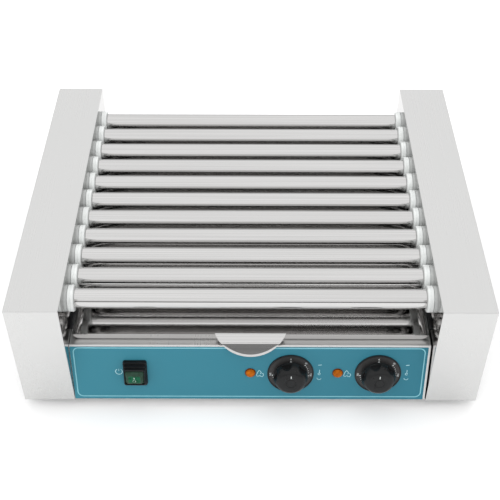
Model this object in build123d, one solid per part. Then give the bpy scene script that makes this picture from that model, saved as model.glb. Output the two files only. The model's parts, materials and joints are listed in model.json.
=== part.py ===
from build123d import *
import math
import os

# Hot dog roller grill, a counter-top cooker: eleven heated rollers between two side boxes.
# Millimetres. X runs to the right, Y to the back and Z up. The origin is the middle of the
# bounding box's bottom, which is also the middle of the body between its front and back faces.

# Body
WIDTH = 580.0
DEPTH = 458.0
BODY_HEIGHT = 166.0
FOOT_HEIGHT = 14.0
SIDE_BOX_WIDTH = 65.0
SHEET = 1.2
GAP = 0.2  # between sheets that are only screwed together elsewhere
FLANGE = 12.0
BEND = 2.0  # outer radius of a sheet's bend

BOTTOM = FOOT_HEIGHT
TOP = BOTTOM + BODY_HEIGHT
FRONT = -DEPTH / 2
BACK = DEPTH / 2
INNER_X = WIDTH / 2 - SIDE_BOX_WIDTH
PAN_BOTTOM = BOTTOM + SHEET
PAN_TOP = PAN_BOTTOM + SHEET

# Rollers, counted from the front
ROLLERS = 11
ROLLER_PITCH = 36.0
ROLLER_R = 12.5
ROLLER_WALL = 1.2
ROLLER_Z = TOP - 26.0
FIRST_ROLLER_Y = FRONT + 46.75
ROLLER_LEFT_X = -245.0
ROLLER_RIGHT_X = 247.0
ROLLER_YS = [FIRST_ROLLER_Y + ROLLER_PITCH * i for i in range(ROLLERS)]
FRONT_ZONE_ROLLERS = 6

# Bearings
PLATE = 1.5
PLATE_BORE_R = 14.5
BUSHING_R = 16.5
BUSHING_REACH = 11.0  # from the wall along the roller
BUSHING_FLANGE = 3.3
BUSHING_GROOVE = 0.4
BUSHING_GROOVE_R = 14.6
BUSHING_SLEEVE = 7.0
BUSHING_LINE = 7.4  # a fine groove round the collar, from the wall
RUNNING = 0.05  # radial clearance of everything that turns

# Chain drive, quarter-inch pitch
PITCH = 6.35
ROLLER_TEETH = 16
MOTOR_TEETH = 12
CHAIN_X = 241.4
CHAIN_ROLLER_R = 1.65
CHAIN_PLATE_HEIGHT = 5.4
CHAIN_PLATE = 0.75
TOOTH_WIDTH = 2.8
TOOTH_GAP_R = CHAIN_ROLLER_R + 0.1
TOOTH_FLARE = 1.0
ROLLER_SPROCKET_TIP = 17.3
MOTOR_SPROCKET_TIP = 13.4
NECK_R = ROLLER_R + 0.45
CHAIN_LINKS = 140
MOTOR_Y = 130.0
MOTOR_R = 30.0
MOTOR_SHAFT_R = 4.0
MOTOR_BRACKET_X = 247.5
MOTOR_BRACKET = 1.8
MOTOR_BACK_X = 286.0

# Terminal block
TERMINALS = 6
TERMINAL_X = (-274.0, -250.0)
TERMINAL_Y = (30.0, 115.0)
TERMINAL_HEIGHT = 20.0

# Heaters
HEATER_R = 4.0
HEATER_END_X = 266.0
HEATER_BRACKET_X = 256.0

# Front panel: a sheet that leans back, with a ledge along its top
LEDGE_Z = TOP - 80.5
PANEL_SETBACK = 18.0
LEDGE_DEPTH = 27.0
PANEL_LEFT_X = -224.6
PANEL_RIGHT_X = 223.6
PANEL_RISE = LEDGE_Z - BOTTOM
LEAN = math.atan2(PANEL_SETBACK, PANEL_RISE)
PANEL_LENGTH = math.hypot(PANEL_SETBACK, PANEL_RISE)
PANEL = Plane(
    origin=(0, FRONT, BOTTOM), x_dir=(1, 0, 0), z_dir=(0, -math.cos(LEAN), math.sin(LEAN))
)

# Controls, placed on the panel: across, and up its slope
CONTROL_UP = 45.5
KNOB_UP = 44.4
KNOB_XS = {"left": 50.6, "right": 160.6}
LAMP_XS = (0.0, 110.0)
SWITCH_X = -144.8
LABEL = 0.3
LABEL_RIGHT_X = 220.9
NOSE_R = 5.0
SPINDLE_R = 3.0
BEZEL_R = 29.2
BEZEL_DISC = 1.3
BEZEL_RIM = 1.9
BEZEL_RIM_WIDTH = 1.6
KNOB_REACH = 21.0
KNOB_FOOT_R = 17.4
KNOB_SKIRT_R = 21.7
KNOB_SKIRT_START = 5.6
KNOB_SKIRT_END = 8.6
KNOB_FACE_R = 12.5
KNOB_HOLLOWS = 6
KNOB_HOLLOW_R = 11.0
KNOB_HOLLOW_AT = 29.0
KNOB_HOLLOW_START = 45.0  # degrees, anticlockwise from the panel's right
SWITCH_SIZE = (30.0, 38.0)
SWITCH_STEPS = (  # across, up the panel, and how far out each step of the boot ends
    (29.2, 36.4, 4.4),
    (27.8, 29.6, 8.4),
    (26.4, 24.4, 12.2),
)
ROCKER_SIZE = (23.4, 18.6)
ROCKER_REACH = 15.0
ROCKER_PIVOT = 8.0
ROCKER_TILT = 6.0
ROCKER_TRUNNION = 0.3
ROCKER_TRUNNION_R = 2.5

# Screws stand upwards through the bottom flanges, and through the feet.
SCREW_R = 2.0
SCREW_HOLE_R = 2.1
SCREW_HEAD_R = 4.0
SCREW_HEAD = 2.2
COVER_SCREW_X = WIDTH / 2 - 7
COVER_SCREW_YS = (-120.0, 120.0)
PANEL_SCREW_XS = (-180.0, 0.0, 180.0)
PANEL_SCREW_Y = FRONT + 9
REAR_SCREW_Y = BACK - 8
SCREW_SPOTS = (
    [(side * COVER_SCREW_X, y) for side in (-1, 1) for y in COVER_SCREW_YS]
    + [(x, PANEL_SCREW_Y) for x in PANEL_SCREW_XS]
    + [(x, REAR_SCREW_Y) for x in PANEL_SCREW_XS]
)
FOOT_X = WIDTH / 2 - 36
FOOT_Y = DEPTH / 2 - 36
FOOT_SPOTS = [(sx * FOOT_X, sy * FOOT_Y) for sx in (-1, 1) for sy in (-1, 1)]
FOOT_TOP_R = 18.0
FOOT_TIP_R = 15.0
FOOT_RECESS_R = 6.0
FOOT_RECESS = 7.0

# Drip tray
TRAY_SHEET = 1.0
TRAY_HALF_WIDTH = 221.0
TRAY_FRONT_Y = FRONT + 28.0
TRAY_LENGTH = 401.0
TRAY_BOTTOM = LEDGE_Z + 0.3
TRAY_TOP = TOP - 71.5
TRAY_BEND = 11.0
TRAY_HEM = 2.2
HANDLE_HALF_WIDTH = 44.2
HANDLE_FLAT = 14.1
HANDLE_TILT = 13.0  # of the flat part, down towards its fold
HANDLE_DROP = 17.4
HANDLE_SLOPE = 68.0  # of the folded part
HANDLE_DEPTH = HANDLE_FLAT + HANDLE_DROP
HANDLE_RADIUS = (HANDLE_HALF_WIDTH**2 + HANDLE_DEPTH**2) / (2 * HANDLE_DEPTH)
HANDLE_TAB = 26.0  # half its width
HANDLE_TAB_DROP = 7.5
RIVET_XS = (-15.8, 15.8)
RIVET_Z = TRAY_TOP - 3.3
RIVET_R = 1.6
RIVET_HEAD_R = 2.8
RIVET_HEAD = 1.5

# Rear
REAR_TOP = 105.0
REAR_FLANGE = 14.0
GLAND_X = 150.0
GLAND_Z = 45.0
GLAND_BORE_R = 4.1
GLAND_THREAD_R = 9.0
DECK_Z = 82.8


def block(x, y, z):
    """A box between two values along each axis."""
    return Pos(x[0], y[0], z[0]) * Box(
        x[1] - x[0], y[1] - y[0], z[1] - z[0], align=(Align.MIN, Align.MIN, Align.MIN)
    )


def rod_x(radius, x0, x1, y, z):
    """A cylinder along X."""
    return Pos((x0 + x1) / 2, y, z) * Rot(0, 90, 0) * Cylinder(radius, x1 - x0)


def rod_y(radius, y0, y1, x, z):
    """A cylinder along Y."""
    return Pos(x, (y0 + y1) / 2, z) * Rot(90, 0, 0) * Cylinder(radius, y1 - y0)


def rod_z(radius, z0, z1, x=0.0, y=0.0):
    """A cylinder along Z."""
    return Pos(x, y, (z0 + z1) / 2) * Cylinder(radius, z1 - z0)


def slab(width, height, z0, z1, corner):
    """A plate with rounded corners between two heights, about the Z axis."""
    return Pos(0, 0, z0) * extrude(RectangleRounded(width, height, corner), z1 - z0)


def drill(shape, *tools):
    """shape without its holes."""
    for tool in tools:
        shape = shape - tool
    return shape


def bent_sheet(points, x0, x1, thickness=SHEET):
    """A sheet along X whose section runs through (y, z) points, with its thickness on the left."""
    path = FilletPolyline(*points, radius=BEND)
    section = make_face(Wire(path.edges()).offset_2d(thickness, side=Side.LEFT))
    return Pos(x0, 0, 0) * extrude(Plane.YZ * section, x1 - x0)


def on_panel(shape, x=0.0, up=CONTROL_UP):
    """Places a shape made about the origin, facing up, at a control's centre on the panel."""
    return PANEL.location * Pos(x, up, 0) * shape


def side_cover(side):
    """The sheet box round one side: top, outer wall, front and back, open to the bearing plate."""
    skin = block((INNER_X, WIDTH / 2), (FRONT, BACK), (BOTTOM, TOP))
    outer_edges = skin.edges().filter_by(lambda e: e.center().X > INNER_X + 1 and e.center().Z > BOTTOM + 1)
    skin = fillet(outer_edges, 1.4)
    inside = block(
        (INNER_X - 1, WIDTH / 2 - SHEET), (FRONT + SHEET, BACK - SHEET), (PAN_BOTTOM, TOP - SHEET)
    )
    opening = block(
        (INNER_X - 1, WIDTH / 2 - FLANGE), (FRONT + FLANGE, BACK - FLANGE), (BOTTOM - 1, TOP / 2)
    )
    holes = [rod_z(SCREW_HOLE_R, BOTTOM - 1, PAN_TOP, COVER_SCREW_X, y) for y in COVER_SCREW_YS]
    cover = drill(skin, inside, opening, *holes)
    return cover if side > 0 else mirror(cover, Plane.YZ)


def bearing_plate(side):
    """The wall that carries one end of every roller, with a foot flange inside the side box."""
    y = (FRONT + SHEET + GAP, BACK - SHEET - GAP)
    wall = block((INNER_X, INNER_X + PLATE), y, (PAN_TOP, TOP - SHEET - GAP))
    foot = block((INNER_X, INNER_X + 15), (y[0] + FLANGE, y[1] - FLANGE), (PAN_TOP, PAN_TOP + PLATE))
    bores = [rod_x(PLATE_BORE_R, INNER_X - 1, INNER_X + PLATE + 1, y, ROLLER_Z) for y in ROLLER_YS]
    plate = drill(wall + foot, *bores)
    return plate if side > 0 else mirror(plate, Plane.YZ)


def base_pan():
    """The floor of the body, lying on the skins' bottom flanges, with air slots."""
    x = WIDTH / 2 - SHEET - GAP
    pan = block((-x, x), (FRONT + 2.5, BACK - BEND - GAP), (PAN_BOTTOM, PAN_TOP))
    slot = Pos(0, 0, PAN_BOTTOM - 1) * extrude(SlotOverall(60, 5), SHEET + 2)
    slots = [Pos(x, y, 0) * slot for x in (-120, 0, 120) for y in range(-60, 61, 15)]
    holes = [rod_z(SCREW_HOLE_R, BOTTOM, PAN_TOP + 1, x, y) for x, y in SCREW_SPOTS + FOOT_SPOTS]
    return drill(pan, *slots, *holes)


def screw(x, y, head_z):
    """A pan head screw pointing up, with its head's underside at head_z."""
    head = rod_z(SCREW_HEAD_R, head_z - SCREW_HEAD, head_z, x, y)
    head = fillet(head.edges().group_by(Axis.Z)[0], 0.9)
    shank = rod_z(SCREW_R, head_z, PAN_TOP + 3.0, x, y)
    recess = Pos(x, y, head_z - SCREW_HEAD + 0.6) * (Box(4.4, 0.9, 1.4) + Box(0.9, 4.4, 1.4))
    return head + shank - recess


def screws():
    """Four for the side covers, three each for the front and rear panels, and four in the feet."""
    flange_screws = [screw(x, y, BOTTOM) for x, y in SCREW_SPOTS]
    foot_screws = [screw(x, y, FOOT_RECESS) for x, y in FOOT_SPOTS]
    return Compound(children=flange_screws + foot_screws)


def rubber_feet():
    """Four tapered feet with a recessed screw."""
    foot = Cone(FOOT_TIP_R, FOOT_TOP_R, PAN_BOTTOM, align=(Align.CENTER, Align.CENTER, Align.MIN))
    foot = fillet(foot.edges().group_by(Axis.Z)[0], 1.5)
    recess = rod_z(FOOT_RECESS_R, -1, FOOT_RECESS)
    hole = rod_z(SCREW_HOLE_R, FOOT_RECESS - 1, PAN_BOTTOM + 1)
    foot = drill(foot, recess, hole)
    return Compound(children=[Pos(x, y, 0) * foot for x, y in FOOT_SPOTS])


def front_panel():
    """Leaning panel with the ledge along its top and a bottom flange, cut for the controls."""
    points = [
        (FRONT + FLANGE + 4, BOTTOM),
        (FRONT, BOTTOM),
        (FRONT + PANEL_SETBACK, LEDGE_Z),
        (FRONT + PANEL_SETBACK + LEDGE_DEPTH, LEDGE_Z),
    ]
    panel = bent_sheet(points[::-1], PANEL_LEFT_X, PANEL_RIGHT_X)
    holes = [rod_z(SCREW_HOLE_R, BOTTOM - 1, PAN_TOP, x, PANEL_SCREW_Y) for x in PANEL_SCREW_XS]
    return drill(panel, *holes, *control_cuts(-2 * SHEET, 1.0))


def control_cuts(z0, z1):
    """The holes of the lamps, knob spindles and switch, through the panel or the label."""
    round_cut = rod_z(NOSE_R + RUNNING, z0, z1)
    cuts = [on_panel(round_cut, x) for x in LAMP_XS]
    cuts += [on_panel(round_cut, x, KNOB_UP) for x in KNOB_XS.values()]
    switch_cut = slab(SWITCH_SIZE[0] - 3, SWITCH_SIZE[1] - 3, z0, z1, 1.5)
    return cuts + [on_panel(switch_cut, SWITCH_X)]


def control_label():
    """The printed face plate, a thin sheet over the leaning part of the panel."""
    left = PANEL_LEFT_X + 0.2
    height = PANEL_LENGTH - 2 * BEND
    sheet = Pos((left + LABEL_RIGHT_X) / 2, PANEL_LENGTH / 2, 0) * slab(
        LABEL_RIGHT_X - left, height, 0, LABEL, 1.0
    )
    return drill(PANEL.location * sheet, *control_cuts(-1.0, 1.0))


def rear_panel():
    """The low back wall between the side boxes, with a top flange, louvre slots and the gland hole."""
    points = [
        (BACK - REAR_FLANGE, BOTTOM),
        (BACK, BOTTOM),
        (BACK, REAR_TOP),
        (BACK - REAR_FLANGE, REAR_TOP),
    ]
    panel = bent_sheet(points, PANEL_LEFT_X, -PANEL_LEFT_X)
    slot = Rot(90, 0, 0) * extrude(SlotOverall(34, 4), 10, both=True)
    slots = [Pos(x, BACK, z) * slot for x in range(-180, 61, 48) for z in (45, 57, 69, 81)]
    gland_hole = rod_y(GLAND_THREAD_R + RUNNING, BACK - 5, BACK + 5, GLAND_X, GLAND_Z)
    holes = [rod_z(SCREW_HOLE_R, BOTTOM - 1, PAN_TOP, x, REAR_SCREW_Y) for x in PANEL_SCREW_XS]
    return drill(panel, *slots, gland_hole, *holes)


def deck_plate():
    """The inner sheet under the tray that keeps drips off the wiring, with two side flanges."""
    x = -PANEL_LEFT_X
    y = (FRONT + 24.0, BACK - REAR_FLANGE - 2)
    deck = block((-x, x), y, (DECK_Z, DECK_Z + SHEET))
    for side in (-1, 1):
        edge = sorted((side * x, side * (x - SHEET)))
        deck = deck + block(edge, y, (DECK_Z - 8, DECK_Z))
    return deck


def tray_runners():
    """Two angle rails that stand on the deck and carry the tray's edges."""
    x = -PANEL_LEFT_X
    y = (FRONT + PANEL_SETBACK + LEDGE_DEPTH + 1, BACK - REAR_FLANGE - 2)
    leg = block((x - SHEET, x), y, (DECK_Z + SHEET, LEDGE_Z))
    shelf = block((x - 24, x), y, (LEDGE_Z - SHEET, LEDGE_Z))
    runner = leg + shelf
    return Compound(children=[mirror(runner, Plane.YZ), runner])


def roller(y):
    """A polished steel tube."""
    tube = rod_x(ROLLER_R, ROLLER_LEFT_X, ROLLER_RIGHT_X, y, ROLLER_Z)
    tube = chamfer(tube.edges().filter_by(GeomType.CIRCLE), 0.3)
    return tube - rod_x(ROLLER_R - ROLLER_WALL, ROLLER_LEFT_X - 1, ROLLER_RIGHT_X + 1, y, ROLLER_Z)


def bushings(side):
    """Eleven bushings: a flange on the wall, a round-edged collar, and a sleeve through the wall."""
    flange_x = INNER_X - BUSHING_FLANGE
    collar_x = flange_x - BUSHING_GROOVE
    line_x = INNER_X - BUSHING_LINE
    flange = rod_x(BUSHING_R, flange_x, INNER_X, 0, ROLLER_Z)
    flange = fillet(flange.edges().group_by(Axis.X)[0], 0.5)
    groove = rod_x(BUSHING_GROOVE_R, collar_x, flange_x, 0, ROLLER_Z)
    collar = rod_x(BUSHING_R, INNER_X - BUSHING_REACH, collar_x, 0, ROLLER_Z)
    collar = fillet(collar.edges().group_by(Axis.X)[0], 1.6)
    collar = fillet(collar.edges().group_by(Axis.X)[-1], 0.6)
    line = rod_x(BUSHING_R + 1, line_x - 0.3, line_x + 0.3, 0, ROLLER_Z)
    line -= rod_x(BUSHING_R - 0.4, line_x - 1, line_x + 1, 0, ROLLER_Z)
    sleeve = rod_x(PLATE_BORE_R - RUNNING, INNER_X, INNER_X + BUSHING_SLEEVE, 0, ROLLER_Z)
    bore = rod_x(ROLLER_R + RUNNING, INNER_X - 20, INNER_X + 20, 0, ROLLER_Z)
    bushing = flange + groove + (collar - line) + sleeve - bore
    if side < 0:
        bushing = mirror(bushing, Plane.YZ)
    return Compound(children=[Pos(0, y, 0) * bushing for y in ROLLER_YS])


def pitch_radius(teeth):
    """Radius of the circle that the chain's pins follow on a sprocket."""
    return PITCH / 2 / math.sin(math.pi / teeth)


def sprocket_disc(teeth, tip, first_gap):
    """A toothed disc across the chain's plane, facing +X, with a tooth gap first_gap degrees
    from straight up, turning towards +Y."""
    radius = pitch_radius(teeth)
    flare = make_face(
        Polyline(
            (-TOOTH_GAP_R, 0),
            (TOOTH_GAP_R, 0),
            (TOOTH_GAP_R + TOOTH_FLARE, 2.5),
            (-TOOTH_GAP_R - TOOTH_FLARE, 2.5),
            close=True,
        )
    )
    gap = Circle(TOOTH_GAP_R) + flare
    step = 360 / teeth
    outline = Circle(tip)
    for i in range(teeth):
        outline -= Rot(0, 0, -first_gap - step * i) * Pos(0, radius) * gap
    disc = extrude(Plane.YZ * outline, TOOTH_WIDTH)
    return Pos(CHAIN_X - TOOTH_WIDTH / 2, 0, 0) * disc


def roller_sprocket(y):
    """A sixteen-tooth sprocket on a roller's end, with its gaps where the chain's top run needs them."""
    past_pin = (y - ROLLER_YS[0]) % PITCH
    turn = 360 / ROLLER_TEETH / PITCH
    disc = sprocket_disc(ROLLER_TEETH, ROLLER_SPROCKET_TIP, -past_pin * turn)
    neck = rod_x(NECK_R, CHAIN_X - 6, CHAIN_X, 0, 0)
    hub = rod_x(ROLLER_R + 2, INNER_X + 8, CHAIN_X - 4.2, 0, 0)
    bore = rod_x(ROLLER_R + 0.02, INNER_X, CHAIN_X + 5, 0, 0)
    return Pos(0, y, ROLLER_Z) * (disc + neck + hub - bore)


def chain_route(motor_z):
    """The chain's closed route as (kind, length in links, data) runs, clockwise from +X: over the
    rollers, round the last one, down to the motor, round it, and up round the first one."""
    big, small = pitch_radius(ROLLER_TEETH), pitch_radius(MOTOR_TEETH)
    first = (ROLLER_YS[0], ROLLER_Z)
    last = (ROLLER_YS[-1], ROLLER_Z)
    motor = (MOTOR_Y, motor_z)

    def line(a, ra, b, rb):
        """Tangent line from circle a to circle b, both on its right: heading, start and length."""
        dy, dz = b[0] - a[0], b[1] - a[1]
        heading = math.atan2(dz, dy) - math.asin((ra - rb) / math.hypot(dy, dz))
        start = (a[0] - ra * math.sin(heading), a[1] + ra * math.cos(heading))
        end = (b[0] - rb * math.sin(heading), b[1] + rb * math.cos(heading))
        return heading, start, math.dist(start, end)

    lines = [line(first, big, last, big), line(last, big, motor, small), line(motor, small, first, big)]
    arcs = [(last, big, ROLLER_TEETH), (motor, small, MOTOR_TEETH), (first, big, ROLLER_TEETH)]
    runs = []
    for i, (heading, start, length) in enumerate(lines):
        runs.append(("line", length / PITCH, (start, heading)))
        turn = (heading - lines[(i + 1) % 3][0]) % (2 * math.pi)
        centre, radius, teeth = arcs[i]
        runs.append(("arc", turn * teeth / (2 * math.pi), (centre, radius, teeth, heading)))
    return runs


def chain_length(motor_z):
    """The route's length in links."""
    return sum(run[1] for run in chain_route(motor_z))


def find_motor_z():
    """The motor's height at which the chain closes on a whole, even number of links."""
    low, high = 35.0, 95.0
    for _ in range(50):
        middle = (low + high) / 2
        if chain_length(middle) > CHAIN_LINKS:
            low = middle
        else:
            high = middle
    return (low + high) / 2


def chain_pins(motor_z):
    """The (y, z) place of every chain pin, one per link, from above the first roller."""
    pins = []
    for i in range(CHAIN_LINKS):
        left = float(i)
        for kind, length, data in chain_route(motor_z):
            if left > length:
                left -= length
                continue
            if kind == "line":
                (y, z), heading = data
                pins.append((y + left * PITCH * math.cos(heading), z + left * PITCH * math.sin(heading)))
            else:
                (y, z), radius, teeth, heading = data
                angle = heading - left * 2 * math.pi / teeth
                pins.append((y - radius * math.sin(angle), z + radius * math.cos(angle)))
            break
    return pins


def chain_link(outer):
    """One link along +Y from the origin: plates outside with pins, or inside with rollers."""
    inside = CHAIN_PLATE + 0.05 if outer else 0.0
    plate_x = 1.6 + inside
    plate = extrude(Plane.YZ * SlotCenterToCenter(PITCH, CHAIN_PLATE_HEIGHT), CHAIN_PLATE)
    link = Pos(plate_x, 0, 0) * plate + Pos(-plate_x - CHAIN_PLATE, 0, 0) * plate
    for y in (-PITCH / 2, PITCH / 2):
        if outer:
            link += rod_x(1.15, -plate_x - 1.2, plate_x + 1.2, y, 0)
        else:
            link += rod_x(CHAIN_ROLLER_R, -plate_x, plate_x, y, 0)
            link -= rod_x(1.2, -plate_x - 2, plate_x + 2, y, 0)
    return link


def drive_chain(motor_z):
    """The roller chain: inner and outer links in turn, each a solid of its own."""
    pins = chain_pins(motor_z)
    kinds = {False: chain_link(False), True: chain_link(True)}
    links = []
    for i, (y0, z0) in enumerate(pins):
        y1, z1 = pins[(i + 1) % len(pins)]
        angle = math.degrees(math.atan2(z1 - z0, y1 - y0))
        place = Pos(CHAIN_X, (y0 + y1) / 2, (z0 + z1) / 2) * Rot(angle, 0, 0)
        links.append(place * kinds[i % 2 == 1])
    return Compound(children=links)


def motor_sprocket(motor_z):
    """The motor's output shaft, and the twelve-tooth sprocket on it."""
    pins = [math.dist(p, (MOTOR_Y, motor_z)) for p in chain_pins(motor_z)]
    y, z = chain_pins(motor_z)[pins.index(min(pins))]
    gap = math.degrees(math.atan2(y - MOTOR_Y, z - motor_z))
    disc = sprocket_disc(MOTOR_TEETH, MOTOR_SPROCKET_TIP, gap)
    hub = rod_x(7.5, CHAIN_X - 8, CHAIN_X, 0, 0)
    bore = rod_x(MOTOR_SHAFT_R + 0.02, CHAIN_X - 20, CHAIN_X + 20, 0, 0)
    shaft = rod_x(MOTOR_SHAFT_R, CHAIN_X - 9, MOTOR_BRACKET_X + 14, 0, 0)
    place = Pos(0, MOTOR_Y, motor_z)
    return Compound(children=[place * (disc + hub - bore), place * shaft])


def gear_motor(motor_z):
    """A round geared motor with a square flange, and a blind bore for its output shaft."""
    front = MOTOR_BRACKET_X + MOTOR_BRACKET
    can = rod_x(MOTOR_R, front + 3, MOTOR_BACK_X, MOTOR_Y, motor_z)
    can = fillet(can.edges().group_by(Axis.X)[-1], 2.5)
    flange = block((front, front + 3), (MOTOR_Y - 30, MOTOR_Y + 30), (motor_z - 30, motor_z + 30))
    bore = rod_x(MOTOR_SHAFT_R + RUNNING, front - 1, front + 16, MOTOR_Y, motor_z)
    holes = [
        rod_x(2.2, front - 1, front + 4, MOTOR_Y + sy * 25, motor_z + sz * 25)
        for sy in (-1, 1)
        for sz in (-1, 1)
    ]
    return drill(can + flange, bore, *holes)


def motor_bracket(motor_z):
    """An angle on the base pan that holds the motor, with a hole for its shaft."""
    x = MOTOR_BRACKET_X
    wall = block((x, x + MOTOR_BRACKET), (MOTOR_Y - 38, MOTOR_Y + 38), (PAN_TOP, motor_z + 34))
    foot = block((x, x + 30), (MOTOR_Y - 38, MOTOR_Y + 38), (PAN_TOP, PAN_TOP + MOTOR_BRACKET))
    return wall + foot - rod_x(9, x - 1, x + MOTOR_BRACKET + 1, MOTOR_Y, motor_z)


def heater(y):
    """A sheathed rod heater inside a roller, with a terminal stud at each end."""
    return rod_x(HEATER_R, -HEATER_END_X, HEATER_END_X, y, ROLLER_Z) + rod_x(
        1.8, -HEATER_END_X - 8, HEATER_END_X + 8, y, ROLLER_Z
    )


def heaters(ys):
    """The heaters of one zone."""
    return Compound(children=[heater(y) for y in ys])


def heater_bracket(side):
    """A strip across the heaters' ends, stood off the bearing plate by a tab at each end."""
    x = HEATER_BRACKET_X
    y = (ROLLER_YS[0] - 24, ROLLER_YS[-1] + 24)
    z = (ROLLER_Z - 12, ROLLER_Z + 12)
    bracket = block((x, x + SHEET), y, z)
    for end, inward in ((y[0], 1), (y[1], -1)):
        tab = sorted((end, end + inward * SHEET))
        foot = sorted((end, end - inward * 9))
        bracket += block((INNER_X + PLATE, x + SHEET), tab, z)
        bracket += block((INNER_X + PLATE, INNER_X + PLATE + SHEET), foot, z)
    holes = [rod_x(HEATER_R + RUNNING, x - 1, x + SHEET + 1, hole_y, ROLLER_Z) for hole_y in ROLLER_YS]
    bracket = drill(bracket, *holes)
    return bracket if side > 0 else mirror(bracket, Plane.YZ)


def terminal_block():
    """The mains terminal block on the base pan in the left side box."""
    left, right = TERMINAL_X
    front, rear = TERMINAL_Y
    top = PAN_TOP + TERMINAL_HEIGHT
    body = block((left, right), (front, rear), (PAN_TOP, top))
    step = (rear - front - 20) / (TERMINALS - 1)
    spots = [(x, front + 10 + step * i) for i in range(TERMINALS) for x in (left + 6, right - 6)]
    pockets = [rod_z(3.2, top - 10, top + 1, x, y) for x, y in spots]
    return drill(body, *pockets)


def thermostat(x):
    """A thermostat behind the panel, with a nose through it and a blind bore for the spindle."""
    body = slab(40, 40, -31 - SHEET, -SHEET, 3)
    nose = rod_z(NOSE_R, -SHEET - 1, LABEL + 2)
    bore = rod_z(SPINDLE_R + RUNNING, -20, LABEL + 3)
    return on_panel(body + nose - bore, x, KNOB_UP)


def spindle(x):
    """The thermostat's steel spindle."""
    return on_panel(rod_z(SPINDLE_R, -18, KNOB_REACH - 6), x, KNOB_UP)


def knob_bezels():
    """The two fixed dial rings, each a thin disc with a raised rim."""
    disc = rod_z(BEZEL_R, LABEL, LABEL + BEZEL_DISC)
    rim = rod_z(BEZEL_R, LABEL, LABEL + BEZEL_RIM)
    rim = fillet(rim.edges().group_by(Axis.Z)[-1], 0.4)
    rim -= rod_z(BEZEL_R - BEZEL_RIM_WIDTH, LABEL, LABEL + 2 * BEZEL_RIM)
    bezel = disc + rim - rod_z(NOSE_R + RUNNING, 0, LABEL + 3)
    return Compound(children=[on_panel(bezel, x, KNOB_UP) for x in KNOB_XS.values()])


def knob(x):
    """A domed knob on a narrower foot, with six finger hollows round it."""
    base = LABEL + BEZEL_DISC + 0.7
    outline = Polyline(
        (0, base), (KNOB_FOOT_R, base), (KNOB_SKIRT_R, KNOB_SKIRT_START), (KNOB_SKIRT_R, KNOB_SKIRT_END)
    )
    dome = Spline(
        (KNOB_SKIRT_R, KNOB_SKIRT_END),
        (KNOB_FACE_R, KNOB_REACH),
        tangents=[(-0.35, 1), (-1, 0.08)],
    )
    close = Polyline((KNOB_FACE_R, KNOB_REACH), (0, KNOB_REACH), (0, base))
    body = revolve(Plane.XZ * make_face(outline + dome + close), Axis.Z)
    hollow = Pos(0, 0, KNOB_SKIRT_END) * extrude(Circle(KNOB_HOLLOW_R), KNOB_REACH)
    for location in PolarLocations(KNOB_HOLLOW_AT, KNOB_HOLLOWS, start_angle=KNOB_HOLLOW_START):
        body -= location * hollow
    body -= rod_z(SPINDLE_R + 0.02, base - 1, KNOB_REACH - 5.9)
    return on_panel(body, x, KNOB_UP)


def pilot_lamp_bodies():
    """The lamps' holders through the panel, with a nut behind it."""
    holder = rod_z(NOSE_R, -24, LABEL) + rod_z(8.0, -SHEET - 4, -SHEET)
    return Compound(children=[on_panel(holder, x) for x in LAMP_XS])


def pilot_lamp_lenses():
    """Round domed lenses."""
    lens = rod_z(6.8, LABEL, LABEL + 4.6)
    lens = fillet(lens.edges().group_by(Axis.Z)[-1], 3.4)
    return Compound(children=[on_panel(lens, x) for x in LAMP_XS])


def switch_housing():
    """The switch's case through the panel, with its front flange and a well for the rocker."""
    flange = slab(*SWITCH_SIZE, LABEL, LABEL + 1.8, 3.0)
    case = slab(SWITCH_SIZE[0] - 3.2, SWITCH_SIZE[1] - 3.2, -24, LABEL + 0.5, 1.5)
    well = slab(ROCKER_SIZE[0] + 1, ROCKER_SIZE[1] + 6, -6, LABEL + 3, 1.0)
    return on_panel(flange + case - well, SWITCH_X)


def switch_boot():
    """The stepped rubber boot round the rocker."""
    boot = None
    start = LABEL + 1.8
    for width, height, end in SWITCH_STEPS:
        step = slab(width, height, start, end, 2.5)
        boot = step if boot is None else boot + step
        start = end
    boot = fillet(boot.edges().group_by(Axis.Z)[-1], 0.8)
    window = slab(ROCKER_SIZE[0] + 0.8, ROCKER_SIZE[1] + 2.6, -1, 20, 1.0)
    return on_panel(boot - window, SWITCH_X)


def switch_rocker():
    """The rocker, a rounded block on two short trunnions, at rest with its lower end pressed in."""
    rocker = slab(*ROCKER_SIZE, 1.0, ROCKER_REACH, 1.6)
    rocker = fillet(rocker.edges().group_by(Axis.Z)[-1], 1.2)
    half = ROCKER_SIZE[0] / 2 + ROCKER_TRUNNION
    rocker += rod_x(ROCKER_TRUNNION_R, -half, half, 0, ROCKER_PIVOT)
    tilt = Pos(0, 0, ROCKER_PIVOT) * Rot(ROCKER_TILT, 0, 0) * Pos(0, 0, -ROCKER_PIVOT)
    return on_panel(tilt * rocker, SWITCH_X)


def drip_tray():
    """The shallow pull-out tray: rounded sides with a hem, and a front lip that takes the rivets."""
    y = (TRAY_FRONT_Y, TRAY_FRONT_Y + TRAY_LENGTH)
    outside = tray_block(TRAY_HALF_WIDTH, y, TRAY_BOTTOM, TRAY_BEND)
    inner_y = (y[0] + TRAY_SHEET, y[1] - TRAY_SHEET)
    inner_width = TRAY_HALF_WIDTH - TRAY_SHEET
    cavity = tray_block(inner_width, inner_y, TRAY_BOTTOM + TRAY_SHEET, TRAY_BEND - TRAY_SHEET)
    tray = outside - cavity
    hem = block((TRAY_HALF_WIDTH - TRAY_HEM, TRAY_HALF_WIDTH - 0.5), inner_y, (TRAY_TOP - 3, TRAY_TOP))
    tray = tray + hem + mirror(hem, Plane.YZ)
    holes = [rod_y(RIVET_R + RUNNING, y[0] - 1, inner_y[0] + 1, x, RIVET_Z) for x in RIVET_XS]
    return drill(tray, *holes)


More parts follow.
